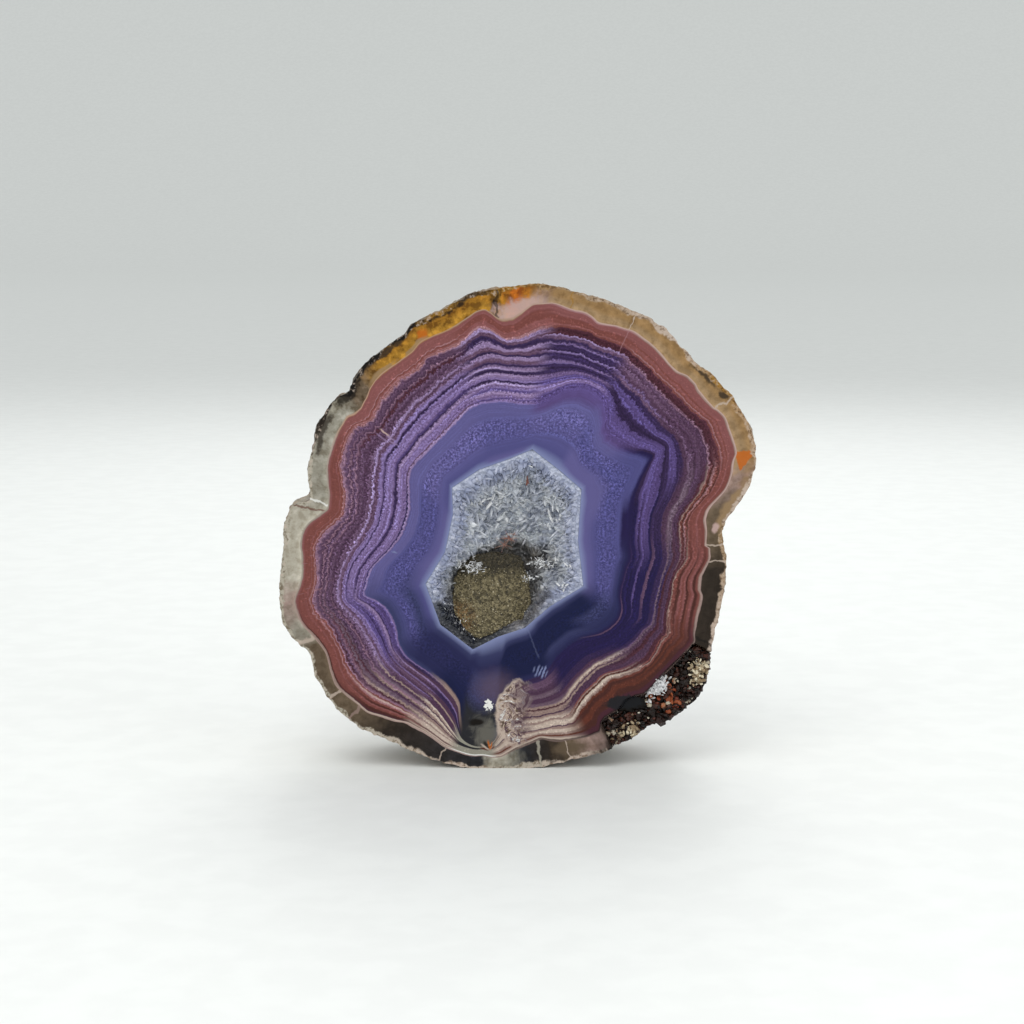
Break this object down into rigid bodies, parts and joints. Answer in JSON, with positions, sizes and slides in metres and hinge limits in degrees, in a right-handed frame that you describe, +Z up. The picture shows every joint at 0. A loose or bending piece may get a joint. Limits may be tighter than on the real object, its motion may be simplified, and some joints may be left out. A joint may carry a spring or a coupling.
{
  "type": "coyamito agate slice",
  "caption": "Thick upright slice of a banded agate nodule with a polished face, a rough rind and a hollow lined with quartz crystals; a mineral specimen for display.",
  "frame": {"origin": "on the ground, under the middle of the slice's bounding box", "axes": "+Z up, -Y out of the polished face, +X to the right of someone who looks at the polished face"},
  "size_m": [0.0584, 0.016, 0.0598],
  "materials": {
    "agate": "polished face with bands from brick red at the rim through plum and lilac to blue, matt sawn back, rough grey-brown rind",
    "quartz": "clear grey-white crystals with glossy flat faces, stained ochre low in the hollow"
  },
  "bodies": {
    "root": {"agate": "agate", "quartz_crust": "quartz"}
  },
  "joints": []
}
